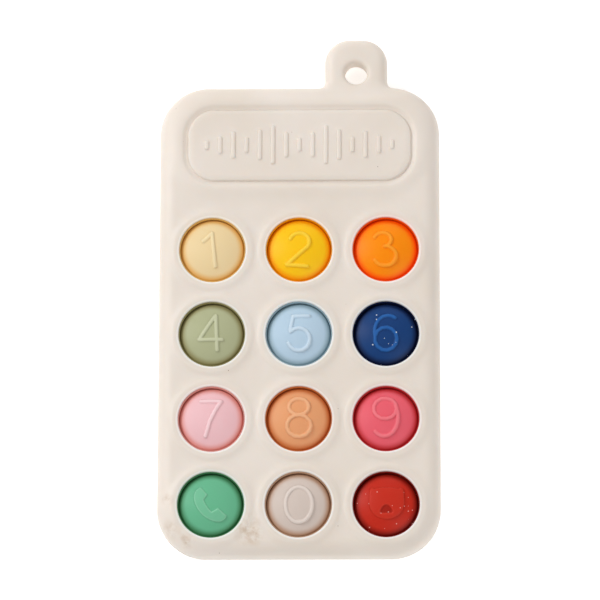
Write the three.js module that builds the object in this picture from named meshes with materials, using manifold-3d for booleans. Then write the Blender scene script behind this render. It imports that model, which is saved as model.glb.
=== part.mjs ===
// A silicone press-and-pop toy phone, lying on its back, in millimetres.
// X runs across the phone, Y along it towards the strap lug, Z up through its thickness.
// Two cream shells are bonded at mid-thickness round twelve coloured bubbles. Each bubble is one
// moulding, kept here as two nodes: the stiff crown that travels (button_*), and the thin wall that
// bends when the crown is pressed through (web_*). The web ends in a flange that the shells trap and
// a thin sleeve that lines the front half of the hole.
import * as THREE from "three";
import { mergeVertices } from "three/addons/utils/BufferGeometryUtils.js";
import Module from "manifold-3d";

const wasm = await Module();
wasm.setup();

// ---- Driving dimensions ----
const PITCH = 26.4; // between neighbouring buttons, both ways
const HOLE_R = 10.1; // wall of a button hole
const SIDE_MARGIN = 16.45; // outer button centre to the side of the body
const FOOT_MARGIN = 15.4; // bottom button row to the bottom of the body
const HEAD = 52.5; // top button row to the top of the body
const BODY_T = 12; // between the flat front and back faces
const CORNER_R = 15; // corners of the body outline
const EDGE_R = 5; // rounding of the body's front and back edges
const LIP_H = 0.6; // raised lip round each hole, and the label mound

const LUG_W = 19.2;
const LUG_UP = 15.6; // how far the lug stands out of the body
const LUG_T = 7;
const LUG_X = 17.3;
const LUG_EDGE = 2; // rounding of the lug's edges and of its hole
const LUG_CORNER_R = 7.5;
const LUG_FILLET = 2; // where the lug meets the body
const LUG_HOLE_R = 3.4;
const LUG_HOLE_UP = 4.5; // hole centre above the body's top edge

const LABEL_W = 68.2;
const LABEL_H = 22.5;
const LABEL_R = 8.5;
const LABEL_UP = 33.1; // label centre above the top button row
const GROOVE = 1.2; // width of the groove round the label
const GROOVE_DEEP = 0.7;
const MOUND = 3.2; // width of the raised band outside the label's edge
const BAR_W = 1.4; // bars of the sound-wave motif
const BAR_PITCH = 4.05;
const BAR_HEIGHTS = [3, 5.6, 8.6, 5, 9.6, 12.3, 8, 4.4, 8, 12.3, 9.6, 5, 8.6, 5.6, 3];
const RELIEF = 0.4; // how far the motif stands out of the label

const DOME_TOP = 13.5; // top of a bubble's outer surface
const DOME_CURVE = 19; // its radius of curvature across the top
const BUBBLE_R = 9.5; // outside of its wall
const SHOULDER_R = 1.2; // rounding between the dome and the wall
const WALL = 1.1;
const CROWN_R = 6.4; // radius of the crown that travels
const CROWN_UNDER = 11.4; // height of its flat underside
const CROWN_GAP = 0.3; // between the crown and the web
const SLEEVE_R = 9.9; // outside of the sleeve
const SLEEVE_WALL = 0.25;
const SLEEVE_TOP = 12.1;
const FLANGE_R = 12;
const FLANGE_T = 1.4;
const POCKET_GAP = 0.15; // clearance round the flange
const BOND = 0.1; // glue line between the shells
const NUMERAL_RELIEF = 0.5;
const STROKE = 1.15; // width of a numeral's stroke
const SEGMENTS = 20; // sides of each round

// ---- Derived places ----
const MID = BODY_T / 2;
const BODY_W = 2 * PITCH + 2 * SIDE_MARGIN;
const BODY_L = FOOT_MARGIN + 3 * PITCH + HEAD;
const FOOT_Y = -(BODY_L + LUG_UP) / 2; // the body's bottom edge, with the whole phone centred on Y = 0
const TOP_Y = FOOT_Y + BODY_L;
const BODY_Y = FOOT_Y + BODY_L / 2;
const ROW_1_Y = TOP_Y - HEAD;
const LABEL_Y = ROW_1_Y + LABEL_UP;

const CREAM = { color: 0xeee2d6, roughness: 0.6, metalness: 0 };
const KEYS = [
  ["1", 0xf0d49a],
  ["2", 0xfac515],
  ["3", 0xff8a0a],
  ["4", 0xbabd8c],
  ["5", 0xb9cbde],
  ["6", 0x1f4f8f],
  ["7", 0xf0aebb],
  ["8", 0xd9925f],
  ["9", 0xd8485c],
  ["call", 0x4fae80],
  ["0", 0xd6c8be],
  ["end", 0xc92a20],
].map(([name, color], i) => ({
  name,
  color,
  x: ((i % 3) - 1) * PITCH,
  y: ROW_1_Y - Math.floor(i / 3) * PITCH,
}));

// ---- Solids ----
function solid(geometry) {
  const bare = geometry.index ? geometry.toNonIndexed() : geometry.clone();
  bare.deleteAttribute("normal");
  bare.deleteAttribute("uv");
  const merged = mergeVertices(bare, 1e-4);
  return new wasm.Manifold(
    new wasm.Mesh({
      numProp: 3,
      vertProperties: new Float32Array(merged.attributes.position.array),
      triVerts: new Uint32Array(merged.index.array),
    }),
  );
}

function union(solids) {
  return solids.reduce((sum, next) => sum.add(next));
}

function node(name, shape, finish, x = 0, y = 0) {
  const mesh = shape.getMesh();
  const geometry = new THREE.BufferGeometry();
  geometry.setAttribute("position", new THREE.BufferAttribute(mesh.vertProperties, 3));
  geometry.setIndex(new THREE.BufferAttribute(mesh.triVerts, 1));
  geometry.computeVertexNormals();
  const made = new THREE.Mesh(geometry, new THREE.MeshStandardMaterial(finish));
  made.name = name;
  made.position.set(x, y, 0);
  return made;
}

// A solid of revolution about Z through (x, y). The profile's points are [radius, height], rising
// up the outside, and it closes on the axis or on itself.
function turned(profile, x = 0, y = 0) {
  const points = profile.map(([r, z]) => new THREE.Vector2(r, z));
  return solid(new THREE.LatheGeometry(points, SEGMENTS).rotateX(Math.PI / 2).translate(x, y, 0));
}

function roundedRect(width, height, radius) {
  const [w, h, r] = [width / 2, height / 2, radius];
  const shape = new THREE.Shape();
  shape.moveTo(-w + r, -h);
  shape.absarc(w - r, -h + r, r, -Math.PI / 2, 0);
  shape.absarc(w - r, h - r, r, 0, Math.PI / 2);
  shape.absarc(-w + r, h - r, r, Math.PI / 2, Math.PI);
  shape.absarc(-w + r, -h + r, r, Math.PI, 1.5 * Math.PI);
  return shape;
}

// A prism of the shape from low to high, its outer size kept where the edges are rounded by edge.
function prism(shape, low, high, { edge = 0, steps = 3, curves = 4, x = 0, y = 0 } = {}) {
  const geometry = new THREE.ExtrudeGeometry(shape, {
    depth: high - low - 2 * edge,
    bevelEnabled: edge > 0,
    bevelThickness: edge,
    bevelSize: edge,
    bevelSegments: steps,
    curveSegments: curves,
  });
  return solid(geometry.translate(x, y, low + edge));
}

// ---- The two cream shells ----
function bodyBlank() {
  const inset = 2 * EDGE_R;
  const outline = roundedRect(BODY_W - inset, BODY_L - inset, CORNER_R - EDGE_R);
  return prism(outline, 0, BODY_T, { edge: EDGE_R, y: BODY_Y });
}

// The lug's outline, inset by its edge rounding, from inside the body to its rounded top.
function lugOutline() {
  const w = LUG_W / 2 - LUG_EDGE;
  const top = TOP_Y + LUG_UP - LUG_EDGE;
  const root = TOP_Y - LUG_EDGE;
  const r = LUG_CORNER_R - LUG_EDGE;
  const f = LUG_FILLET + LUG_EDGE;
  const shape = new THREE.Shape();
  shape.moveTo(-w - f, root - EDGE_R);
  shape.lineTo(w + f, root - EDGE_R);
  shape.lineTo(w + f, root);
  shape.absarc(w + f, root + f, f, 1.5 * Math.PI, Math.PI, true);
  shape.absarc(w - r, top - r, r, 0, Math.PI / 2);
  shape.absarc(-w + r, top - r, r, Math.PI / 2, Math.PI);
  shape.absarc(-w - f, root + f, f, 0, -Math.PI / 2, true);
  return shape;
}

function lugBlank() {
  const low = MID - LUG_T / 2;
  const high = MID + LUG_T / 2;
  const blank = prism(lugOutline(), low, high, { edge: LUG_EDGE, steps: 2, curves: 3, x: LUG_X });
  const flare = LUG_HOLE_R + LUG_EDGE;
  const eased = LUG_HOLE_R + 0.3 * LUG_EDGE;
  const hole = turned(
    [
      [0, low - 1],
      [flare, low - 1],
      [flare, low],
      [eased, low + 0.3 * LUG_EDGE],
      [LUG_HOLE_R, low + LUG_EDGE],
      [LUG_HOLE_R, high - LUG_EDGE],
      [eased, high - 0.3 * LUG_EDGE],
      [flare, high],
      [flare, high + 1],
      [0, high + 1],
    ],
    LUG_X,
    TOP_Y + LUG_HOLE_UP,
  );
  return blank.subtract(hole);
}

// The raised band and the pill-shaped plateau inside its groove, with the sound-wave motif on it.
function labelBlank() {
  const top = BODY_T + LIP_H;
  const at = { y: LABEL_Y };
  const grown = (by) => roundedRect(LABEL_W + 2 * by, LABEL_H + 2 * by, LABEL_R + by);
  const mound = prism(grown(MOUND - LIP_H), MID, top, { ...at, edge: LIP_H, steps: 2 });
  const trench = prism(grown(GROOVE), top - GROOVE_DEEP, top + 1, at);
  const plateau = prism(grown(0), MID, top, at);
  return mound.subtract(trench).add(plateau).add(waveMotif(top));
}

function waveMotif(top) {
  const first = (-(BAR_HEIGHTS.length - 1) / 2) * BAR_PITCH;
  const bars = BAR_HEIGHTS.map((height, i) =>
    prism(roundedRect(BAR_W, height, BAR_W / 2 - 0.01), top - RELIEF, top + RELIEF, {
      curves: 1,
      x: first + i * BAR_PITCH,
      y: LABEL_Y,
    }),
  );
  return union(bars);
}

function lip({ x, y }) {
  const top = BODY_T + LIP_H;
  return turned(
    [
      [HOLE_R - 1, MID + 3],
      [HOLE_R + 2.6, MID + 3],
      [HOLE_R + 2.6, BODY_T],
      [HOLE_R + 1.6, top],
      [HOLE_R - 1, top],
      [HOLE_R - 1, MID + 3],
    ],
    x,
    y,
  );
}

// Cuts a button hole with eased rims, and the pocket for the bubble's flange.
function holeCutter({ x, y }) {
  const ease = 0.5;
  const top = BODY_T + LIP_H;
  const pocketR = FLANGE_R + 2 * POCKET_GAP;
  const pocketHalf = FLANGE_T / 2 + POCKET_GAP;
  return turned(
    [
      [0, -1],
      [HOLE_R + ease + 1, -1],
      [HOLE_R, ease],
      [HOLE_R, MID - pocketHalf],
      [pocketR, MID - pocketHalf],
      [pocketR, MID + pocketHalf],
      [HOLE_R, MID + pocketHalf],
      [HOLE_R, top - ease],
      [HOLE_R + ease + 1, top + 1],
      [0, top + 1],
    ],
    x,
    y,
  );
}

function shells() {
  const lips = KEYS.map(lip);
  const whole = union([bodyBlank(), lugBlank(), labelBlank(), ...lips]).subtract(
    union(KEYS.map(holeCutter)),
  );
  const slab = roundedRect(2 * BODY_W, 2 * (BODY_L + LUG_UP), 1);
  const above = prism(slab, MID + BOND / 2, BODY_T + 5, { curves: 1 });
  const below = prism(slab, -5, MID - BOND / 2, { curves: 1 });
  return [
    node("front_shell", whole.intersect(above), CREAM),
    node("back_shell", whole.intersect(below), CREAM),
  ];
}

// ---- Bubbles ----
// Height of the bubble's outer (proud = 0) or inner (proud = -WALL) surface at a radius.
function domeHeight(radius, proud) {
  return DOME_TOP - DOME_CURVE + Math.sqrt((DOME_CURVE + proud) ** 2 - radius ** 2);
}

function domePoints(radii, proud) {
  return radii.map((r) => [r, domeHeight(r, proud)]);
}

// A lens from the crown's underside up to the dome, or up to a numeral's relief above it.
function lens(proud) {
  const crown = domePoints([CROWN_R, 3.9, 0], proud);
  return turned([[0, CROWN_UNDER], [CROWN_R, CROWN_UNDER], ...crown]);
}

// The rounded shoulder between the wall and the dome, from the wall inwards.
function shoulder() {
  const r = BUBBLE_R - SHOULDER_R;
  const reach = DOME_CURVE - SHOULDER_R;
  const z = DOME_TOP - DOME_CURVE + Math.sqrt(reach ** 2 - r ** 2);
  const meets = Math.asin(r / reach);
  return [Math.PI / 2, 0.37 * Math.PI, meets].map((a) => [
    r + SHOULDER_R * Math.sin(a),
    z + SHOULDER_R * Math.cos(a),
  ]);
}

function web() {
  const start = CROWN_R + CROWN_GAP;
  const inner = BUBBLE_R - WALL;
  const half = FLANGE_T / 2;
  return turned([
    [start, domeHeight(start, -WALL)],
    [inner, domeHeight(inner, -WALL)],
    [inner, MID - half],
    [FLANGE_R, MID - half],
    [FLANGE_R, MID + half],
    [SLEEVE_R, MID + half],
    [SLEEVE_R, SLEEVE_TOP],
    [SLEEVE_R - SLEEVE_WALL, SLEEVE_TOP],
    [SLEEVE_R - SLEEVE_WALL, MID + half + 0.3],
    [BUBBLE_R, MID + half + 0.3],
    ...shoulder(),
    [start, domeHeight(start, 0)],
    [start, domeHeight(start, -WALL)],
  ]);
}

// ---- Numerals and pictograms: strokes about the button's centre ----
const line = (...points) => points.map(([x, y]) => new THREE.Vector2(x, y));

function arc(cx, cy, rx, ry, fromDeg, toDeg, steps = 8) {
  return Array.from({ length: steps + 1 }, (_, i) => {
    const a = THREE.MathUtils.degToRad(fromDeg + ((toDeg - fromDeg) * i) / steps);
    return new THREE.Vector2(cx + rx * Math.cos(a), cy + ry * Math.sin(a));
  });
}

const loop = (cx, cy, rx, ry) => ({ cx, cy, rx, ry });

const STROKES = {
  1: [line([-2.7, 2.4], [-0.15, 4.9], [0.85, -5.1])],
  2: [[...arc(0.15, 2.2, 2.9, 2.7, 160, -35), ...line([-3.6, -4.7], [2.4, -5.2])]],
  3: [
    [...arc(-0.9, 2.7, 2.55, 2.2, 160, -70, 6), ...line([0.3, 0.6])],
    [...line([-0.3, 0.6]), ...arc(-0.2, -2.25, 3.3, 2.9, 70, -155)],
  ],
  4: [line([3, -1.9], [-3.7, -1.9], [1.1, 5.5]), line([1.2, 5.3], [1.6, -4.9])],
  5: [line([2.9, 5.3], [-1.7, 5.2], [-2.55, 0.4]), arc(0, -1.85, 3.25, 3.35, 138, -160)],
  6: [loop(0, -1.8, 3.25, 3.4), arc(0.7, 0.3, 4, 5, 60, 200)],
  7: [line([-3, 5.2], [2.8, 5.2], [1.2, 2.4], [-0.4, -0.9], [-1.65, -5.2])],
  8: [loop(0.05, 3.45, 2.95, 2.55), loop(0.1, -2.3, 3.55, 3.2)],
  9: [loop(-0.25, 2.8, 3.4, 3.2), arc(-0.5, 0.2, 4.05, 5.6, 20, -130)],
  0: [loop(0.15, -0.15, 3.95, 5.25)],
};

// The band of one open stroke: its line offset to both sides, with mitred bends.
function ribbon(points, width) {
  const left = [];
  const right = [];
  points.forEach((p, i) => {
    const before = points[Math.max(0, i - 1)];
    const after = points[Math.min(points.length - 1, i + 1)];
    const into = p.clone().sub(before).normalize();
    const out = after.clone().sub(p).normalize();
    if (i === 0) into.copy(out);
    if (i === points.length - 1) out.copy(into);
    const mean = into.clone().add(out).normalize();
    const side = new THREE.Vector2(-mean.y, mean.x);
    const reach = width / 2 / Math.max(0.45, mean.dot(into));
    left.push(p.clone().addScaledVector(side, reach));
    right.push(p.clone().addScaledVector(side, -reach));
  });
  return new THREE.Shape([...right, ...left.reverse()]);
}

function loopShape({ cx, cy, rx, ry }) {
  const half = STROKE / 2;
  const shape = new THREE.Shape();
  shape.absellipse(cx, cy, rx + half, ry + half, 0, 2 * Math.PI);
  const inside = new THREE.Path();
  inside.absellipse(cx, cy, rx - half, ry - half, 0, 2 * Math.PI);
  shape.holes.push(inside);
  return shape;
}

function handsetShape() {
  const shape = new THREE.Shape();
  shape.moveTo(-2.9, 5.1);
  shape.lineTo(-0.9, 2.7);
  shape.lineTo(-1.9, 1.2);
  shape.quadraticCurveTo(-1.2, -0.9, 0.35, -2.3);
  shape.lineTo(2.2, -1.2);
  shape.lineTo(4.7, -3.4);
  shape.quadraticCurveTo(4.3, -5.2, 2, -5.3);
  shape.quadraticCurveTo(-2.6, -4.6, -4.5, 0);
  shape.quadraticCurveTo(-5.8, 3.8, -2.9, 5.1);
  return shape;
}

// A telephone set with its handset down: a round-bottomed body, handset ends at the top corners,
// and a small round-topped dial opening.
function deskPhoneShape() {
  const shape = new THREE.Shape();
  shape.moveTo(-5, 0.8);
  shape.absellipse(0.15, 0.4, 5.15, 5.1, Math.PI, 2 * Math.PI);
  shape.lineTo(5.2, 3.6);
  shape.absarc(4.3, 3.9, 0.9, 0, 0.75 * Math.PI);
  shape.quadraticCurveTo(0.15, 5.2, -3.4, 4.5);
  shape.absarc(-4, 3.9, 0.9, 0.25 * Math.PI, Math.PI);
  const dial = new THREE.Path();
  dial.moveTo(-1.3, -2.85);
  dial.lineTo(1.5, -2.85);
  dial.quadraticCurveTo(2.1, -2.6, 1.6, -1.6);
  dial.quadraticCurveTo(1, -0.5, 0.1, -0.5);
  dial.quadraticCurveTo(-0.8, -0.5, -1.4, -1.6);
  dial.quadraticCurveTo(-1.9, -2.6, -1.3, -2.85);
  shape.holes.push(dial);
  return shape;
}

function reliefShapes(name) {
  if (name === "call") return [handsetShape()];
  if (name === "end") return [deskPhoneShape()];
  return STROKES[name].map((s) => (Array.isArray(s) ? ribbon(s, STROKE) : loopShape(s)));
}

function buttonNodes({ name, color, x, y }) {
  const finish = { color, roughness: 0.55, metalness: 0 };
  const prisms = reliefShapes(name).map((s) => prism(s, MID, BODY_T + 4, { curves: 7 }));
  const numeral = union(prisms).intersect(lens(NUMERAL_RELIEF));
  return [
    node("button_" + name, lens(0).add(numeral), finish, x, y),
    node("web_" + name, web(), finish, x, y),
  ];
}

const phone = new THREE.Group();
phone.add(...shells(), ...KEYS.flatMap(buttonNodes));
export default phone;
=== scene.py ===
import math

import bpy
import numpy as np
from mathutils import Matrix, Vector
from mathutils.geometry import delaunay_2d_cdt
from mathutils.kdtree import KDTree


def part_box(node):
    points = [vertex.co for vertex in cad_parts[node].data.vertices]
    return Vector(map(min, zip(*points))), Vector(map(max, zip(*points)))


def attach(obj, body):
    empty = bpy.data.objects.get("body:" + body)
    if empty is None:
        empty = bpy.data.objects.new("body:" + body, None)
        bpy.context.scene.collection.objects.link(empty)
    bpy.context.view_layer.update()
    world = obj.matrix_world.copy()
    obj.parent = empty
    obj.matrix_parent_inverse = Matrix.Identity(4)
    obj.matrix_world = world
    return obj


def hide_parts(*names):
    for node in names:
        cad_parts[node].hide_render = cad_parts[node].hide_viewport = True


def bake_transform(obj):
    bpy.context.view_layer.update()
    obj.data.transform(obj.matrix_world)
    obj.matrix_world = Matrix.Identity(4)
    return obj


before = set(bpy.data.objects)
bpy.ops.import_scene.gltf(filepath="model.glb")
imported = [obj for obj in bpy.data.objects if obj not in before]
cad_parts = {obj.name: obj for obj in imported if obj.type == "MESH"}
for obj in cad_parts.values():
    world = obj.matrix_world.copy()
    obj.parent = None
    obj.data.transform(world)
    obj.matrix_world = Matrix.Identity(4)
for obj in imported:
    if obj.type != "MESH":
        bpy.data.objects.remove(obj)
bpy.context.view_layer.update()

# The geometry below is worked out in millimetres and scaled to metres when a mesh is made.
MM = 0.001
KEYS = ("1", "2", "3", "4", "5", "6", "7", "8", "9", "call", "0", "end")
CASE_BODY = "case"

# ---- Colours ----
# Screen colours of each key: its crown, the darker tone painted towards its edge as shade (with some of the
# silicone's own richer tone), the painted highlight on its raised mark, and dust on it.
KEY_COLOURS = {
    "1": ((236, 212, 164), (226, 178, 98), (240, 220, 176), None),
    "2": ((252, 198, 18), (240, 152, 0), (253, 210, 60), None),
    "3": ((254, 142, 0), (246, 84, 0), (255, 158, 40), None),
    "4": ((178, 181, 144), (146, 138, 92), (200, 203, 170), None),
    "5": ((185, 208, 225), (146, 170, 180), (202, 220, 234), None),
    "6": ((22, 62, 118), (12, 24, 60), (38, 96, 166), (214, 222, 232)),
    "7": ((238, 193, 197), (222, 148, 138), (246, 210, 213), None),
    "8": ((230, 162, 114), (200, 112, 56), (238, 178, 134), None),
    "9": ((233, 98, 112), (192, 44, 48), (240, 122, 132), None),
    "call": ((106, 184, 144), (66, 126, 82), (146, 208, 174), None),
    "0": ((212, 197, 187), (184, 146, 118), (224, 211, 202), None),
    "end": ((196, 42, 24), (126, 18, 8), (206, 58, 40), (226, 150, 140)),
}

# Faint brown stains: the key that each is near, its place from that key, its radius and its strength.
STAINS = (
    ("call", (-12.4, -8.0), 4.0, 0.7),
    ("call", (-7.6, -11.4), 3.0, 0.8),
    ("call", (10.9, -7.4), 5.5, 0.7),
    ("call", (13.2, -9.6), 3.5, 0.6),
    ("call", (-13.2, 1.5), 2.5, 0.6),
    ("4", (0.5, 30.0), 3.0, 0.15),
)

GLOW = 0.34  # painted coloured light: share of a key's darker edge tone painted on the cream at its hole's edge
GLOW_REACH = 4.0
GLOW_FADE = 0.55
RIM_W = 0.75  # painted highlight: pale ring round each hole, and how softly it ends
RIM_FADE = 0.35


def linear(rgb):
    """Linear colour of a 0 to 255 screen colour."""
    share = np.array(rgb) / 255
    return tuple(np.where(share > 0.04045, ((share + 0.055) / 1.055) ** 2.4, share / 12.92)) + (1.0,)


# ---- Places from the frame, in millimetres ----


def box_mm(node):
    low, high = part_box(node)
    return np.array(low) / MM, np.array(high) / MM


SHELL_LOW, SHELL_HIGH = box_mm("front_shell")
BACK_LOW, BACK_HIGH = box_mm("back_shell")
KEY_AT = {key: sum(box_mm("web_" + key))[:2] / 2 for key in KEYS}
MID = (SHELL_LOW[2] + BACK_HIGH[2]) / 2
HALF_T = MID - BACK_LOW[2]
HALF_W = SHELL_HIGH[0]
FOOT_Y = SHELL_LOW[1]

# ---- The case: driving sizes shared with the design ----
LUG_UP = 15.6
LUG_X = 17.3
LUG_HALF_W = 9.6
LUG_HALF_T = 3.5
LUG_EDGE = 3.2
LUG_CORNER_R = 7.5
LUG_HOLE_R = 3.4
LUG_HOLE_UP = 4.5
LUG_BLEND = 2.6
BORE_ROUND = 1.7
BORE_ZONE = 1.5  # the bore is left out further than this below the body's top edge
CORNER_R = 15.0
EDGE_R = 5.0
HOLE_R = 10.1
LIP_H = 0.6
LIP_ROUND = 0.45
LIP_FLAT_R = 11.6
LIP_FALL = 2.2
WELL_ROUND = 0.9
POCKET_R = 12.3
POCKET_HALF = 0.85
LABEL_HALF = (34.1, 11.25)
LABEL_R = 8.5
LABEL_UP = 33.1  # label centre above the top row of keys
LABEL_ZONE = 16.0  # the label's relief starts this far above the top row
LABEL_ROUND = 0.45
GROOVE_FLOOR = -0.12
GROOVE_FLAT = 0.4  # how far the groove's floor reaches out from the plateau
LABEL_CREST = 1.9  # from the plateau's edge out to the mound's top
CREST_FLAT = 0.2
MOUND_FALL = 4.2
BAR_HALF_W = 0.7
BAR_PITCH = 4.05
BAR_HEIGHTS = (3, 5.6, 8.6, 5, 9.6, 12.3, 8, 4.4, 8, 12.3, 9.6, 5, 8.6, 5.6, 3)
BAR_RELIEF = 0.4
BAR_ROUND = 0.4

TOP_Y = SHELL_HIGH[1] - LUG_UP
BODY_Y = (FOOT_Y + TOP_Y) / 2
LUG_HOLE = np.array((LUG_X, TOP_Y + LUG_HOLE_UP))
LABEL_Y = KEY_AT["1"][1] + LABEL_UP

# ---- Mesh density, in millimetres or in sides ----
OUTLINE_STEP = 0.65
LABEL_STEP = 0.45
BAR_STEP = 0.3
FILL_STEP = 1.3
SIDES = 128
LUG_SIDES = 64
HOLE_RINGS = (0, 0.03, 0.09, 0.19, 0.32, 0.46, 0.8, 1.25, 1.7, 2.1, 2.5, 2.85)  # out from the hole's edge
LUG_RINGS = (0.04, 0.12, 0.3, 0.6, 1, 1.5, 2)
EDGE_ANGLES = range(12, 93, 8)
LABEL_LOOPS = (-0.3, -0.15, -0.05, 0, 0.06, 0.25, 0.5, 0.8, 1.2, 1.6, 2.1, 2.8, 3.6, 4.5, 5.6, 6.8)
TRIMMED_PAST = 2.5  # label loops further out than this stop short of the body's rounded edge
BAR_INSETS = (-0.2, 0, 0.06, 0.18, 0.4)
EDGE_CLEAR_R = 13.2  # rows along the edge stay this far from each key's centre
FILL_CLEAR_R = 12.9
LUG_CLEAR = 2.5
SEAM = 0.1  # least height of the outer surface above the mid-plane
PARTING = 0.03  # half the gap between the two shells
PARTING_INSET = 0.15


# ---- Shape functions ----


def smoothstep(t):
    t = np.clip(t, 0, 1)
    return t * t * (3 - 2 * t)


def quarter_round(depth, radius):
    """Drop of a rounded edge at a distance depth inside the edge: radius at 0, nothing past radius."""
    inside = np.clip(1 - depth / radius, 0, 1)
    return radius * (1 - np.sqrt(1 - inside**2))


def rounded_box(x, y, centre, half, radius):
    """Signed distance to a rounded rectangle, negative inside."""
    qx = np.abs(x - centre[0]) - (half[0] - radius)
    qy = np.abs(y - centre[1]) - (half[1] - radius)
    outside = np.hypot(np.maximum(qx, 0), np.maximum(qy, 0))
    return outside + np.minimum(np.maximum(qx, qy), 0) - radius


def slab(distance, up, half, edge):
    """Signed distance to a flat slab with rounded edges, at a height up from its middle."""
    a = distance + edge
    b = up - (half - edge)
    return np.minimum(np.maximum(a, b), 0) + np.hypot(np.maximum(a, 0), np.maximum(b, 0)) - edge


def smooth_min(a, b, width):
    share = np.clip(0.5 + 0.5 * (b - a) / width, 0, 1)
    return b * (1 - share) + a * share - width * share * (1 - share)


def body_distance(x, y):
    half = (HALF_W, (TOP_Y - FOOT_Y) / 2)
    return rounded_box(x, y, (0, BODY_Y), half, CORNER_R)


def case_solid(x, y, up):
    """Signed distance-like value of the whole case blank, negative inside, with no key holes."""
    body = slab(body_distance(x, y), up, HALF_T, EDGE_R)
    lug_half = (LUG_HALF_W, (LUG_UP + CORNER_R) / 2)
    lug_centre = (LUG_X, TOP_Y + LUG_UP - lug_half[1])
    lug = slab(rounded_box(x, y, lug_centre, lug_half, LUG_CORNER_R), up, LUG_HALF_T, LUG_EDGE)
    both = smooth_min(body, lug, LUG_BLEND)
    bore = LUG_HOLE_R - np.hypot(x - LUG_HOLE[0], y - LUG_HOLE[1])
    bore = np.where(y > TOP_Y - BORE_ZONE, bore, -99.0)
    return -smooth_min(-both, -bore, BORE_ROUND)


def case_rise(x, y):
    """Height of the blank's surface above the mid-plane, by bisection."""
    low = np.zeros_like(x)
    high = np.full_like(x, HALF_T + 1)
    for _ in range(36):
        middle = (low + high) / 2
        inside = case_solid(x, y, middle) < 0
        low = np.where(inside, middle, low)
        high = np.where(inside, high, middle)
    return low


def label_relief(x, y):
    """The raised plateau in its groove, and the soft mound round it."""
    d = rounded_box(x, y, (0, LABEL_Y), LABEL_HALF, LABEL_R)
    plateau = LIP_H - quarter_round(-d, LABEL_ROUND)
    climb = smoothstep((d - GROOVE_FLAT) / (LABEL_CREST - GROOVE_FLAT))
    slope = GROOVE_FLOOR + (LIP_H - GROOVE_FLOOR) * climb
    mound = LIP_H * (1 - smoothstep((d - LABEL_CREST - CREST_FLAT) / MOUND_FALL))
    outer = np.where(d < LABEL_CREST, slope, mound)
    return np.where(d < 0, plateau, outer)


def bar_distances(x, y):
    first = -(len(BAR_HEIGHTS) - 1) / 2 * BAR_PITCH
    nearest = np.full_like(x, 99.0)
    for i, height in enumerate(BAR_HEIGHTS):
        centre = (first + i * BAR_PITCH, LABEL_Y)
        d = rounded_box(x, y, centre, (BAR_HALF_W, height / 2), BAR_HALF_W - 0.01)
        nearest = np.minimum(nearest, d)
    return nearest


def lip_relief(x, y):
    """The soft ring round each key hole, rolled over at the hole's edge."""
    height = np.zeros_like(x)
    drop = np.zeros_like(x)
    for centre in KEY_AT.values():
        r = np.hypot(x - centre[0], y - centre[1])
        height = np.maximum(height, LIP_H * (1 - smoothstep((r - LIP_FLAT_R) / LIP_FALL)))
        drop = np.maximum(drop, quarter_round(r - HOLE_R, LIP_ROUND))
    return height - drop


def front_relief(x, y):
    to_bar = bar_distances(x, y)
    bars = BAR_RELIEF - np.minimum(quarter_round(-to_bar, BAR_ROUND), BAR_RELIEF)
    bars = np.where(to_bar < 0, bars, 0.0)
    label = label_relief(x, y) + bars
    return np.where(y > KEY_AT["1"][1] + LABEL_ZONE, label, lip_relief(x, y))


def back_relief(x, y):
    drop = np.zeros_like(x)
    for centre in KEY_AT.values():
        r = np.hypot(x - centre[0], y - centre[1])
        drop = np.maximum(drop, quarter_round(r - HOLE_R, WELL_ROUND))
    return -drop


# ---- Point rows that the case meshes follow ----


def resample(points, step):
    """A closed line of points, spaced evenly."""
    closed = np.vstack([points, points[:1]])
    along = np.concatenate([[0], np.cumsum(np.hypot(*np.diff(closed, axis=0).T))])
    count = int(round(along[-1] / step))
    wanted = np.arange(count) * along[-1] / count
    return np.column_stack([np.interp(wanted, along, closed[:, k]) for k in (0, 1)])


def ring(centre, radius, sides=SIDES):
    angle = np.arange(sides) * 2 * math.pi / sides
    return np.column_stack([centre[0] + radius * np.cos(angle), centre[1] + radius * np.sin(angle)])


def rounded_loop(centre, half, radius, step):
    """The line of a rounded rectangle, counter-clockwise."""
    corners = []
    for k, (sx, sy) in enumerate(((1, 1), (-1, 1), (-1, -1), (1, -1))):
        angle = np.radians(np.linspace(90 * k, 90 * k + 90, 16))
        corner = (centre[0] + sx * (half[0] - radius), centre[1] + sy * (half[1] - radius))
        corners.append(
            np.column_stack([corner[0] + radius * np.cos(angle), corner[1] + radius * np.sin(angle)])
        )
    return resample(np.vstack(corners), step)


def flat_gradient(points):
    eps = 1e-3
    x, y = points.T
    zero = np.zeros_like(x)
    dx = case_solid(x + eps, y, zero) - case_solid(x - eps, y, zero)
    dy = case_solid(x, y + eps, zero) - case_solid(x, y - eps, zero)
    return np.column_stack([dx, dy]) / (2 * eps)


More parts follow.
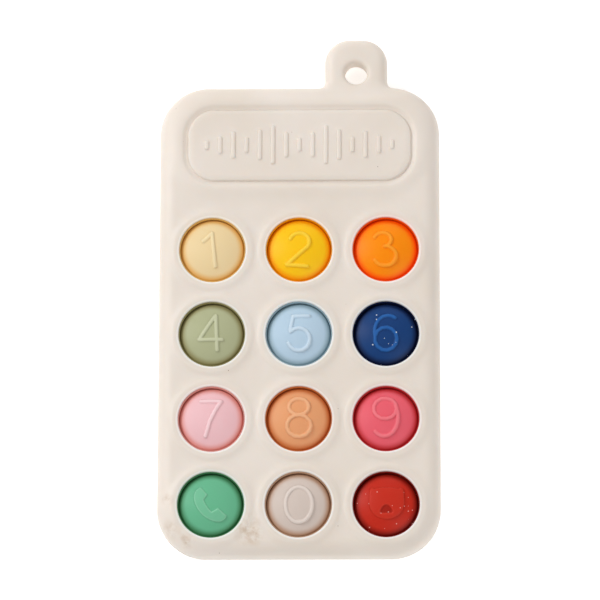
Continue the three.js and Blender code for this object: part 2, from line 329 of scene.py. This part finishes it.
def case_outline():
    """The case's outline at the mid-plane, and its outward normals."""
    body = rounded_loop((0, BODY_Y), (HALF_W, (TOP_Y - FOOT_Y) / 2), CORNER_R, OUTLINE_STEP)
    lug_half = (LUG_HALF_W, LUG_UP / 2)
    lug = rounded_loop((LUG_X, TOP_Y + LUG_UP / 2), lug_half, LUG_CORNER_R, OUTLINE_STEP)
    lug = lug[lug[:, 1] > TOP_Y + LUG_UP / 2 - 1e-6]
    right = np.array([[LUG_X + LUG_HALF_W, TOP_Y]])
    left = np.array([[LUG_X - LUG_HALF_W, TOP_Y]])
    start = body[np.argsort(np.arctan2(body[:, 1] - BODY_Y, body[:, 0]))]
    on_top = (np.abs(start[:, 0] - LUG_X) < LUG_HALF_W) & (start[:, 1] > TOP_Y - 0.5)
    first = np.argmax(on_top)
    last = first + on_top.sum()
    lug = lug[np.argsort(np.arctan2(lug[:, 1] - TOP_Y, lug[:, 0] - LUG_X))]
    points = np.vstack([start[:first], right, lug, left, start[last:]])
    for _ in range(2):
        points = resample(points, OUTLINE_STEP)
        for _ in range(12):
            slope = flat_gradient(points)
            value = case_solid(points[:, 0], points[:, 1], np.zeros(len(points)))
            points = points - slope * (value / np.maximum((slope**2).sum(1), 0.05))[:, None]
    normals = flat_gradient(points)
    return points, normals / np.linalg.norm(normals, axis=1)[:, None]


class PointRows:
    """Points in the plane, in rows. A later row gives way to earlier ones that it comes too close to."""

    def __init__(self):
        self.rows = []
        self.count = 0

    def add(self, points):
        first = self.count
        self.rows.append(points)
        self.count += len(points)
        return np.arange(first, self.count)

    def add_clear(self, points, clearance):
        tree = KDTree(self.count)
        for i, (x, y) in enumerate(np.vstack(self.rows)):
            tree.insert((x, y, 0), i)
        tree.balance()
        far = [tree.find((x, y, 0))[2] > clearance for x, y in points]
        return self.add(points[np.array(far, bool)])

    def all(self):
        return np.vstack(self.rows)


def triangles(points, loops, outline):
    """Triangles over the points, leaving out those inside a loop or outside the outline."""
    found = delaunay_2d_cdt([Vector(p) for p in points], [], [], 0, 1e-7)
    source = np.array([origin[0] for origin in found[3]])
    faces = source[np.array(found[2])]
    loop_of = np.full(len(points), -1)
    for k, loop in enumerate(loops):
        loop_of[loop] = k
    of = loop_of[faces]
    in_loop = (of[:, 0] >= 0) & (of[:, 0] == of[:, 1]) & (of[:, 1] == of[:, 2])
    middle = points[faces].mean(1)
    inside = case_solid(middle[:, 0], middle[:, 1], np.zeros(len(middle))) < 0
    on_outline = np.isin(faces, outline).all(1)
    return faces[~in_loop & (inside | ~on_outline)]


# ---- Meshes ----


def set_value(made, name, values):
    """A number at each vertex, which a material reads by its name."""
    made.data.attributes.new(name, "FLOAT", "POINT").data.foreach_set("value", values.astype(np.float32))


def make_object(name, vertices_mm, faces, material):
    mesh = bpy.data.meshes.new(name)
    mesh.from_pydata((np.asarray(vertices_mm) * MM).tolist(), [], faces)
    mesh.validate()
    mesh.materials.append(material)
    mesh.polygons.foreach_set("use_smooth", [True] * len(mesh.polygons))
    made = bpy.data.objects.new(name, mesh)
    bpy.context.scene.collection.objects.link(made)
    return made


def strip(lower, upper):
    """Quads between two closed rows of equal length."""
    n = len(lower)
    return [(lower[i], lower[(i + 1) % n], upper[(i + 1) % n], upper[i]) for i in range(n)]


def key_distance(points):
    """Distance from each point to the nearest key's centre."""
    centres = np.array(list(KEY_AT.values()))
    return np.hypot(*(points[:, None] - centres[None]).transpose(2, 0, 1)).min(1)


def add_edge_rows(rows, outline, normals):
    for depth in EDGE_R * (1 - np.cos(np.radians(EDGE_ANGLES))):
        inner = outline - normals * depth
        clear = key_distance(inner) > EDGE_CLEAR_R
        clear &= np.hypot(*(inner - LUG_HOLE).T) > LUG_HOLE_R + LUG_CLEAR
        rows.add(inner[clear])


def add_label_rows(rows):
    for offset in LABEL_LOOPS:
        half = (LABEL_HALF[0] + offset, LABEL_HALF[1] + offset)
        loop = rounded_loop((0, LABEL_Y), half, LABEL_R + offset, LABEL_STEP)
        if offset > TRIMMED_PAST:
            loop = loop[body_distance(*loop.T) < -EDGE_R - 0.1]
        rows.add_clear(loop, 0.04)
    first = -(len(BAR_HEIGHTS) - 1) / 2 * BAR_PITCH
    for i, height in enumerate(BAR_HEIGHTS):
        for inset in BAR_INSETS:
            half = (BAR_HALF_W - inset, height / 2 - inset)
            centre = (first + i * BAR_PITCH, LABEL_Y)
            rows.add(rounded_loop(centre, half, half[0] - 0.005, BAR_STEP))


def add_fill_rows(rows):
    """An even triangular grid over the rest of the face."""
    grid_x, grid_y = np.meshgrid(
        np.arange(-HALF_W, HALF_W, FILL_STEP), np.arange(FOOT_Y, TOP_Y + LUG_UP, FILL_STEP * 0.866)
    )
    grid_x[1::2] += FILL_STEP / 2
    fill = np.column_stack([grid_x.ravel(), grid_y.ravel()])
    fill = fill[case_solid(fill[:, 0], fill[:, 1], np.zeros(len(fill))) < -1]
    fill = fill[key_distance(fill) > FILL_CLEAR_R]
    rows.add_clear(fill, 0.62 * FILL_STEP)


def make_shell(name, side, relief, material):
    """One half of the case: side is 1 for the front and -1 for the back."""
    outline, normals = case_outline()
    inset_outline = outline - normals * PARTING_INSET
    rows = PointRows()
    hole_radii = HOLE_R + np.array(HOLE_RINGS)
    hole_rows = [[rows.add(ring(centre, r)) for r in hole_radii] for centre in KEY_AT.values()]
    lug_rows = [rows.add(ring(LUG_HOLE, LUG_HOLE_R + d, LUG_SIDES)) for d in LUG_RINGS]
    edge = rows.add(outline)
    add_edge_rows(rows, outline, normals)
    if side > 0:
        add_label_rows(rows)
    add_fill_rows(rows)

    flat = rows.all()
    x, y = flat.T
    loops = [rings[0] for rings in hole_rows] + [lug_rows[0]]
    faces = triangles(flat, loops, edge)
    rise = case_rise(x, y)
    height = np.maximum(rise, SEAM) + relief(x, y) * smoothstep(rise / HALF_T * 1.4)
    vertices = [np.column_stack([x, y, MID + side * height])]
    used = len(flat)

    def extra(points, level):
        nonlocal used
        vertices.append(np.column_stack([points, np.full(len(points), MID + side * level)]))
        used += len(points)
        return np.arange(used - len(points), used)

    quads = []
    parting = PointRows()
    parting_loops = []
    pocket_edges = []
    hole_edge = ring(KEY_AT[KEYS[0]], HOLE_R)[:1]
    edge_level = HALF_T + relief(*hole_edge.T)[0]
    for centre, rings in zip(KEY_AT.values(), hole_rows):
        upper = rings[0]
        for level in np.linspace(edge_level, POCKET_HALF, 7)[1:]:
            lower = extra(ring(centre, HOLE_R), level)
            quads += strip(lower, upper)
            upper = lower
        ceiling = extra(ring(centre, POCKET_R), POCKET_HALF)
        quads += strip(ceiling, upper)
        mouth = extra(ring(centre, POCKET_R), PARTING)
        quads += strip(mouth, ceiling)
        pocket_edges.append(mouth)
        parting_loops.append(parting.add(ring(centre, POCKET_R)))
    lug_throat = extra(ring(LUG_HOLE, LUG_HOLE_R, LUG_SIDES), PARTING)
    quads += strip(lug_throat, lug_rows[0])
    parting_loops.append(parting.add(ring(LUG_HOLE, LUG_HOLE_R, LUG_SIDES)))
    inner_edge = extra(inset_outline, PARTING)
    quads += strip(edge, inner_edge)
    parting_edge = parting.add(inset_outline)
    parting_flat = parting.all()
    parting_faces = triangles(parting_flat, parting_loops, parting_edge)
    parting_ids = np.concatenate(pocket_edges + [lug_throat, inner_edge])
    parting_faces = parting_ids[parting_faces]

    top = [tuple(int(i) for i in f) for f in faces]
    bottom = [tuple(int(i) for i in reversed(f)) for f in parting_faces]
    walls = [tuple(int(i) for i in q) for q in quads]
    all_faces = top + bottom + walls
    if side < 0:
        all_faces = [tuple(reversed(f)) for f in all_faces]
    shell = make_object(name, np.vstack(vertices), all_faces, material)
    shell.data.set_sharp_from_angle(angle=math.radians(50))
    paint_glow_and_highlight(shell, side)
    return shell


def paint_glow_and_highlight(shell, side):
    """Painted coloured light that each bubble throws on the cream next to it, stronger above the hole, and
    how strong it is; also the painted highlight on the ring round each hole.
    """
    points = np.array([v.co for v in shell.data.vertices]) / MM
    tint = np.ones((len(points), 4))
    share = np.zeros(len(points))
    rim = np.zeros(len(points))
    for key, centre in KEY_AT.items():
        r = np.hypot(*(points[:, :2] - centre).T)
        near = r < HOLE_R + GLOW_REACH
        tint[near] = linear(KEY_COLOURS[key][1])
        # Painted light: the glow is stronger on the side of the hole towards +Y.
        toward = 0.65 + 0.35 * (points[near, 1] - centre[1]) / np.maximum(r[near], 1)
        share[near] = GLOW * toward * np.exp(-np.maximum(r[near] - HOLE_R, 0) / GLOW_FADE)
        # Painted highlight on the rolled-over edge of each hole, on the outer face only.
        rim[near] = smoothstep((HOLE_R + RIM_W - r[near]) / RIM_FADE)
    rim *= points[:, 2] * side > (MID + side * HALF_T - 1) * side
    set_value(shell, "glow_share", share)
    set_value(shell, "rim", rim)
    glow = shell.data.attributes.new("glow", "FLOAT_COLOR", "POINT")
    glow.data.foreach_set("color", tint.ravel())


# ---- Numerals and pictograms, about the key's centre ----
STROKE = 1.15
RELIEF = 0.5
RELIEF_ROUND = 0.42
MARK_R = 7.0  # no mark reaches further out than this
PICTOGRAMS = ("call", "end")


def arc(cx, cy, rx, ry, start, end, steps=14):
    angle = np.radians(np.linspace(start, end, steps))
    return [(cx + rx * math.cos(a), cy + ry * math.sin(a)) for a in angle]


NUMERALS = {
    "1": [[(-2.7, 2.4), (-1.4, 3.5), (-0.15, 4.9), (0.85, -5.1)]],
    "2": [arc(0.15, 2.2, 2.9, 2.7, 160, -35) + [(-3.6, -4.7), (2.4, -5.2)]],
    "3": [arc(-0.9, 2.7, 2.55, 2.2, 160, -75), arc(-0.2, -2.25, 3.3, 2.9, 80, -155)],
    "4": [[(3, -1.9), (-3.7, -1.9), (1.1, 5.5)], [(1.15, 5.3), (1.6, -4.9)]],
    "5": [[(2.9, 5.3), (-1.7, 5.2), (-2.55, 0.7)], arc(0, -1.85, 3.25, 3.35, 138, -160)],
    "6": [arc(0, -1.8, 3.25, 3.4, 0, 360), arc(0.7, 0.3, 4, 5, 60, 190)],
    "7": [[(-3, 5.2), (2.8, 5.2), (1.2, 2.4), (-0.4, -0.9), (-1.65, -5.2)]],
    "8": [arc(0.05, 3.45, 2.95, 2.55, 0, 360), arc(0.1, -2.3, 3.55, 3.2, 0, 360)],
    "9": [arc(-0.25, 2.8, 3.4, 3.2, 0, 360), arc(-0.5, 0.2, 4.05, 5.6, 20, -130)],
    "0": [arc(0.15, -0.15, 3.95, 5.25, 0, 360, 28)],
}


def bezier(start, control, end, steps=8):
    t = np.linspace(0, 1, steps, endpoint=False)[:, None]
    start, control, end = map(np.array, (start, control, end))
    return ((1 - t) ** 2 * start + 2 * t * (1 - t) * control + t**2 * end).tolist()


def handset_outline():
    """A telephone handset lying from top left to bottom right."""
    points = [(-2.9, 5.1), (-0.9, 2.7)]
    points += bezier((-1.9, 1.2), (-1.2, -0.9), (0.35, -2.3))
    points += [(0.35, -2.3), (2.2, -1.2)]
    points += bezier((4.7, -3.4), (4.3, -5.2), (2, -5.3))
    points += bezier((2, -5.3), (-2.6, -4.6), (-4.5, 0))
    points += bezier((-4.5, 0), (-5.8, 3.8), (-2.9, 5.1))
    return points


def desk_phone_outline():
    """A telephone set with its handset down, whose ends stand up at the top corners."""
    points = arc(0.15, 0.4, 5.15, 5.1, 180, 360, 24)
    points += [(5.2, 3.6)] + arc(4.3, 3.9, 0.9, 0.9, 0, 135, 6)
    points += bezier((3.6, 4.5), (0.15, 5.2), (-3.4, 4.5))
    points += arc(-4, 3.9, 0.9, 0.9, 45, 180, 6) + [(-4.9, 3.6)]
    return points


def dial_outline():
    """The small round-topped opening in the telephone set."""
    points = [(-1.3, -2.85)]
    points += bezier((1.5, -2.85), (2.1, -2.6), (1.6, -1.6))
    points += bezier((1.6, -1.6), (1, -0.5), (0.1, -0.5))
    points += bezier((0.1, -0.5), (-0.8, -0.5), (-1.4, -1.6))
    points += bezier((-1.4, -1.6), (-1.9, -2.6), (-1.3, -2.85))
    return points


def line_distance(x, y, points):
    nearest = np.full_like(x, 99.0)
    for (ax, ay), (bx, by) in zip(points[:-1], points[1:]):
        dx, dy = bx - ax, by - ay
        t = np.clip(((x - ax) * dx + (y - ay) * dy) / max(dx * dx + dy * dy, 1e-9), 0, 1)
        nearest = np.minimum(nearest, np.hypot(x - ax - t * dx, y - ay - t * dy))
    return nearest


def area_distance(x, y, points):
    """Signed distance to a closed outline, negative inside."""
    inside = np.zeros(len(x), bool)
    for (ax, ay), (bx, by) in zip(points, points[1:] + points[:1]):
        crosses = (ay > y) != (by > y)
        reach = (bx - ax) * (y - ay) / (by - ay if by != ay else 1e-9) + ax
        inside ^= crosses & (x < reach)
    distance = line_distance(x, y, points + points[:1])
    return np.where(inside, -distance, distance)


def numeral_distance(key, x, y):
    """Signed distance to the raised mark on a key, negative on it."""
    if key == "call":
        return area_distance(x, y, handset_outline())
    if key == "end":
        body = area_distance(x, y, desk_phone_outline())
        return np.maximum(body, -area_distance(x, y, dial_outline()))
    lines = [line_distance(x, y, points) for points in NUMERALS[key]]
    return np.minimum.reduce(lines) - STROKE / 2


# ---- Bubbles: the mesh is the middle of the wall, which a modifier thickens to both sides ----
WALL = 1.0
DOME_TOP = 13.5 - WALL / 2
DOME_CURVE = 19.0 - WALL / 2
DOME_CENTRE = DOME_TOP - DOME_CURVE
WALL_R = 9.74 - WALL / 2
SHOULDER_R = 0.6
FOOT_R = 0.3
CROWN_STEP = 0.18
EDGE_SHADE_FROM = 7.2  # radius where the painted shade towards the dome's edge starts
FLANGE_RINGS = (10.4, 11.2, 12.0)
SLEEVE_IN = 9.8
SLEEVE_OUT = 10.06
SLEEVE_LOW = MID + 0.75
SLEEVE_TOP = MID + HALF_T + 0.15


def bubble_profile():
    """Radius and height of each ring, from the crown out to the flange's rim."""
    reach = DOME_CURVE - SHOULDER_R
    turn_r = WALL_R - SHOULDER_R
    turn_z = DOME_CENTRE + math.sqrt(reach**2 - turn_r**2)
    meets = math.asin(turn_r / reach)
    crown_end = DOME_CURVE * math.sin(meets)
    crown_r = np.arange(CROWN_STEP, crown_end, CROWN_STEP)
    crown = [(r, DOME_CENTRE + math.sqrt(DOME_CURVE**2 - r**2)) for r in crown_r]
    bend = np.linspace(meets, math.pi / 2, 8)
    shoulder = [(turn_r + SHOULDER_R * math.sin(a), turn_z + SHOULDER_R * math.cos(a)) for a in bend]
    wall = [(WALL_R, z) for z in np.linspace(turn_z, MID + FOOT_R, 9)[1:-1]]
    foot = [
        (WALL_R + FOOT_R * (1 - math.cos(a)), MID + FOOT_R * (1 - math.sin(a)))
        for a in np.radians(np.linspace(0, 90, 5))
    ]
    flange = [(r, MID) for r in FLANGE_RINGS]
    return crown + shoulder + wall + foot + flange


def ring_rows(centre, profile, first=0):
    """Vertices of the rings of a turned surface, and the vertex numbers of each ring."""
    vertices = [(x, y, z) for r, z in profile for x, y in ring(centre, r)]
    rows = [np.arange(first + k * SIDES, first + (k + 1) * SIDES) for k in range(len(profile))]
    return vertices, rows


def make_bubble(key, material):
    centre = KEY_AT[key]
    around, rows = ring_rows(centre, bubble_profile(), first=1)
    vertices = np.array([(*centre, DOME_TOP)] + around)
    faces = [(0, int(rows[0][i]), int(rows[0][(i + 1) % SIDES])) for i in range(SIDES)]
    for inner, outer in zip(rows[:-1], rows[1:]):
        faces += [tuple(int(i) for i in q) for q in strip(outer, inner)]
    bubble = make_object("bubble_" + key, vertices, faces, material)
    flat = vertices[:, :2] - centre
    # Painted shade: the edge value darkens the dome towards its edge, where it falls into the hole, with some
    # of the silicone's own richer tone.
    deep_shade = smoothstep((np.hypot(*flat.T) - EDGE_SHADE_FROM) / (WALL_R - EDGE_SHADE_FROM))
    # The inside of the dial is darkened with the same edge tone.
    if key == "end":
        dial = -area_distance(flat[:, 0], flat[:, 1], dial_outline())
        deep_shade = np.maximum(deep_shade, 0.5 * smoothstep((dial + 0.1) / 0.4))
    set_value(bubble, "edge", deep_shade)

    # Painted highlight: the raised strokes of each mark are painted lighter than the dome.
    depth = -numeral_distance(key, flat[:, 0], flat[:, 1])
    lift = np.where(depth > 0, 1 - quarter_round(depth, RELIEF_ROUND) / RELIEF_ROUND, 0)
    lift *= np.hypot(*flat.T) < MARK_R
    tone = np.clip(1.6 - depth / 0.35, 0.25, 1) if key in PICTOGRAMS else 1  # painted highlight, palest along the outline
    set_value(bubble, "mark", lift * tone)
    raised = bubble.vertex_groups.new(name="raised")
    for i in np.flatnonzero(lift > 0):
        raised.add([int(i)], float(lift[i]), "REPLACE")
    bubble.vertex_groups.new(name="inside")

    wall = bubble.modifiers.new("wall", "SOLIDIFY")
    wall.thickness = WALL * MM
    wall.offset = 0
    wall.shell_vertex_group = "inside"
    outer_only = bubble.modifiers.new("outer_only", "VERTEX_WEIGHT_MIX")
    outer_only.vertex_group_a = "raised"
    outer_only.vertex_group_b = "inside"
    outer_only.mix_mode = "SUB"
    outer_only.mix_set = "ALL"
    outer_only.default_weight_b = 0
    emboss = bubble.modifiers.new("emboss", "DISPLACE")
    emboss.direction = "NORMAL"
    emboss.mid_level = 0
    emboss.strength = RELIEF * MM
    emboss.vertex_group = "raised"

    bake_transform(bubble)
    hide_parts("button_" + key, "web_" + key)


def make_sleeve(key, material):
    """The thin part of the bubble's moulding that lines the front half of its hole."""
    round_off = 0.08
    section = [(SLEEVE_OUT, z) for z in np.linspace(SLEEVE_LOW, SLEEVE_TOP - round_off, 7)]
    section += [(SLEEVE_OUT - round_off, SLEEVE_TOP), (SLEEVE_IN + round_off, SLEEVE_TOP)]
    section += [(SLEEVE_IN, z) for z in np.linspace(SLEEVE_TOP - round_off, SLEEVE_LOW, 7)]
    vertices, rows = ring_rows(KEY_AT[key], section)
    faces = []
    for lower, upper in zip(rows, rows[1:] + rows[:1]):
        faces += [tuple(int(i) for i in q) for q in strip(lower, upper)]
    sleeve = make_object("sleeve_" + key, vertices, faces, material)
    # Painted shade: the sleeve takes the full darker edge tone, with some of the silicone's own richer tone.
    set_value(sleeve, "edge", np.ones(len(vertices)))
    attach(sleeve, CASE_BODY)


# ---- Materials ----


def new_material(name):
    material = bpy.data.materials.new(name)
    material.use_nodes = True
    nodes = material.node_tree.nodes
    shader = nodes["Principled BSDF"]
    return material, nodes, material.node_tree.links, shader


def noise(nodes, links, coords, scale, detail=3.0, roughness=0.5):
    made = nodes.new("ShaderNodeTexNoise")
    made.inputs["Scale"].default_value = scale
    made.inputs["Detail"].default_value = detail
    made.inputs["Roughness"].default_value = roughness
    links.new(coords, made.inputs["Vector"])
    return made.outputs["Fac"]


def attribute(nodes, name, output="Fac"):
    made = nodes.new("ShaderNodeAttribute")
    made.attribute_name = name
    return made.outputs[output]


def ramp(nodes, links, value, stops):
    """A ramp through (position, grey value) stops."""
    made = nodes.new("ShaderNodeValToRGB")
    elements = made.color_ramp.elements
    while len(elements) < len(stops):
        elements.new(0.5)
    for element, (position, grey) in zip(elements, stops):
        element.position = position
        element.color = (grey, grey, grey, 1)
    links.new(value, made.inputs["Fac"])
    return made.outputs["Color"]


def mix(nodes, links, factor, a, b):
    made = nodes.new("ShaderNodeMix")
    made.data_type = "RGBA"
    for socket, value in (("Factor", factor), ("A", a), ("B", b)):
        target = next(i for i in made.inputs if i.name == socket and (socket == "Factor" or i.type == "RGBA"))
        if isinstance(value, bpy.types.NodeSocket):
            links.new(value, target)
        else:
            target.default_value = value
    return next(o for o in made.outputs if o.type == "RGBA")


def specks(nodes, links, coords, scale, size, keep):
    """Small round spots: 1 on a spot, 0 elsewhere. keep is the share of cells that hold one."""
    cells = nodes.new("ShaderNodeTexVoronoi")
    cells.inputs["Scale"].default_value = scale
    links.new(coords, cells.inputs["Vector"])
    near = nodes.new("ShaderNodeMath")
    near.operation = "LESS_THAN"
    near.inputs[1].default_value = size
    links.new(cells.outputs["Distance"], near.inputs[0])
    split = nodes.new("ShaderNodeSeparateColor")
    links.new(cells.outputs["Color"], split.inputs["Color"])
    chosen = nodes.new("ShaderNodeMath")
    chosen.operation = "LESS_THAN"
    chosen.inputs[1].default_value = keep
    links.new(split.outputs["Red"], chosen.inputs[0])
    both = nodes.new("ShaderNodeMath")
    both.operation = "MULTIPLY"
    links.new(near.outputs[0], both.inputs[0])
    links.new(chosen.outputs[0], both.inputs[1])
    return both.outputs[0]


def silicone_skin(nodes, links, coords, shader, roughness):
    """The fine moulded texture: uneven gloss and a very slight orange peel."""
    fine = noise(nodes, links, coords, 1400, 4)
    gloss = nodes.new("ShaderNodeMapRange")
    gloss.inputs["To Min"].default_value = roughness - 0.07
    gloss.inputs["To Max"].default_value = roughness + 0.09
    links.new(noise(nodes, links, coords, 160, 5), gloss.inputs["Value"])
    links.new(gloss.outputs["Result"], shader.inputs["Roughness"])
    bump = nodes.new("ShaderNodeBump")
    bump.inputs["Strength"].default_value = 0.25
    bump.inputs["Distance"].default_value = 0.00004
    links.new(fine, bump.inputs["Height"])
    links.new(bump.outputs["Normal"], shader.inputs["Normal"])


def stain(nodes, links, coords, place, radius, strength):
    """A patchy round spot: its strength at most, fading to 0 at its radius."""
    away = nodes.new("ShaderNodeVectorMath")
    away.operation = "DISTANCE"
    away.inputs[1].default_value = (place[0] * MM, place[1] * MM, (MID + HALF_T) * MM)
    links.new(coords, away.inputs[0])
    fade = nodes.new("ShaderNodeMapRange")
    fade.inputs["From Max"].default_value = radius * MM
    fade.inputs["To Min"].default_value = strength
    fade.inputs["To Max"].default_value = 0
    links.new(away.outputs["Value"], fade.inputs["Value"])
    patches = ramp(nodes, links, noise(nodes, links, coords, 380, 5, 0.65), [(0.42, 0), (0.66, 1)])
    both = nodes.new("ShaderNodeMath")
    both.operation = "MULTIPLY"
    links.new(fade.outputs["Result"], both.inputs[0])
    links.new(patches, both.inputs[1])
    return both.outputs[0]


def cream_silicone():
    material, nodes, links, shader = new_material("cream_silicone")
    coords = nodes.new("ShaderNodeTexCoord").outputs["Object"]
    cloud = ramp(nodes, links, noise(nodes, links, coords, 45, 4), [(0.35, 0), (0.7, 1)])
    colour = mix(nodes, links, cloud, linear((234, 224, 214)), linear((229, 218, 206)))
    for key, offset, radius, strength in STAINS:
        mask = stain(nodes, links, coords, KEY_AT[key] + np.array(offset), radius, strength)
        colour = mix(nodes, links, mask, colour, linear((190, 160, 126)))
    dust = specks(nodes, links, coords, scale=420, size=0.06, keep=0.1)
    colour = mix(nodes, links, dust, colour, linear((150, 128, 108)))
    # Painted highlight on the pale ring round each hole.
    colour = mix(nodes, links, attribute(nodes, "rim"), colour, linear((250, 246, 240)))
    # Painted coloured light from the bubbles on the cream round their holes.
    colour = mix(nodes, links, attribute(nodes, "glow_share"), colour, attribute(nodes, "glow", "Color"))
    links.new(colour, shader.inputs["Base Color"])
    shader.inputs["Subsurface Weight"].default_value = 0.3
    shader.inputs["Subsurface Radius"].default_value = (1.0, 0.75, 0.55)
    shader.inputs["Subsurface Scale"].default_value = 0.0025
    shader.inputs["IOR"].default_value = 1.42
    silicone_skin(nodes, links, coords, shader, 0.5)
    return material


def bubble_silicone(key):
    crown, deep_shade, mark, dust = KEY_COLOURS[key]
    material, nodes, links, shader = new_material("bubble_" + key)
    coords = nodes.new("ShaderNodeTexCoord").outputs["Object"]
    # Painted shade: the darker edge tone towards the dome's edge, with some of the silicone's own richer
    # tone.
    colour = mix(nodes, links, attribute(nodes, "edge"), linear(crown), linear(deep_shade))
    # Painted highlight on the raised mark.
    colour = mix(nodes, links, attribute(nodes, "mark"), colour, linear(mark))
    if dust:
        spots = specks(nodes, links, coords, scale=850, size=0.17, keep=0.16)
        colour = mix(nodes, links, spots, colour, linear(dust))
    links.new(colour, shader.inputs["Base Color"])
    shader.inputs["Subsurface Weight"].default_value = 0.2
    shader.inputs["Subsurface Radius"].default_value = tuple(0.3 + c for c in linear(crown)[:3])
    shader.inputs["Subsurface Scale"].default_value = 0.0009
    shader.inputs["IOR"].default_value = 1.42
    shader.inputs["Specular IOR Level"].default_value = 0.2
    silicone_skin(nodes, links, coords, shader, 0.46)
    return material


# ---- The object ----
cream = cream_silicone()
for name, side, relief in (("front_shell", 1, front_relief), ("back_shell", -1, back_relief)):
    shell = make_shell("case_" + name, side, relief, cream)
    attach(shell, CASE_BODY)
    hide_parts(name)

for key in KEYS:
    silicone = bubble_silicone(key)
    make_bubble(key, silicone)
    make_sleeve(key, silicone)


# ---- Floor, light and camera ----


def make_floor():
    size = 3.0
    mesh = bpy.data.meshes.new("floor")
    corners = [(-size, -size, 0), (size, -size, 0), (size, size, 0), (-size, size, 0)]
    mesh.from_pydata(corners, [], [(0, 1, 2, 3)])
    floor = bpy.data.objects.new("floor", mesh)
    bpy.context.scene.collection.objects.link(floor)
    material, nodes, links, shader = new_material("floor")
    shader.inputs["Base Color"].default_value = (0.9, 0.9, 0.9, 1)
    shader.inputs["Roughness"].default_value = 0.9
    shader.inputs["Specular IOR Level"].default_value = 0.1
    shader.inputs["Emission Color"].default_value = (1, 1, 1, 1)
    shader.inputs["Emission Strength"].default_value = 0.42
    mesh.materials.append(material)


def make_area_light(name, place, aim, size, watts):
    data = bpy.data.lights.new(name, "AREA")
    data.shape = "DISK"
    data.size = size
    data.energy = watts
    lamp = bpy.data.objects.new(name, data)
    lamp.location = place
    lamp.rotation_euler = (Vector(aim) - Vector(place)).to_track_quat("-Z", "Y").to_euler()
    bpy.context.scene.collection.objects.link(lamp)


def make_world(strength):
    world = bpy.data.worlds.new("studio")
    world.use_nodes = True
    background = world.node_tree.nodes["Background"]
    background.inputs["Color"].default_value = (1, 1, 1, 1)
    background.inputs["Strength"].default_value = strength
    bpy.context.scene.world = world


def make_camera(tilt_x, tilt_y, roll, distance, field, aim):
    """A camera looking down at the face, tilted by tilt_x towards +X and by tilt_y towards -Y."""
    out = Vector((math.sin(math.radians(tilt_x)), -math.sin(math.radians(tilt_y)), 0))
    out.z = math.sqrt(1 - out.length_squared)
    right = Vector((0, 1, 0)).cross(out).normalized()
    up = out.cross(right)
    turn = Matrix.Rotation(math.radians(roll), 3, out)
    basis = Matrix((turn @ right, turn @ up, out)).transposed()
    data = bpy.data.cameras.new("camera")
    data.sensor_width = 36
    data.lens = data.sensor_width * distance / field
    camera = bpy.data.objects.new("camera", data)
    camera.matrix_world = Matrix.Translation(Vector(aim) + out * distance) @ basis.to_4x4()
    bpy.context.scene.collection.objects.link(camera)
    bpy.context.scene.camera = camera


make_floor()
make_area_light("key_light", (-1.0, 0.45, 0.9), (0, 0, 0), 0.55, 10.3)
make_area_light("top_light", (0.2, 1.6, 0.9), (0, 0, 0), 0.7, 4.6)
make_area_light("fill_light", (0.7, -0.7, 1.0), (0, 0, 0), 0.8, 5.4)
make_world(0.42)
make_camera(
    tilt_x=1.5, tilt_y=14.15, roll=0.147, distance=1.5, field=0.18306, aim=(0.00017, -0.000995, 0.006)
)
bpy.context.scene.view_settings.view_transform = "Standard"
bpy.context.scene.view_settings.look = "None"
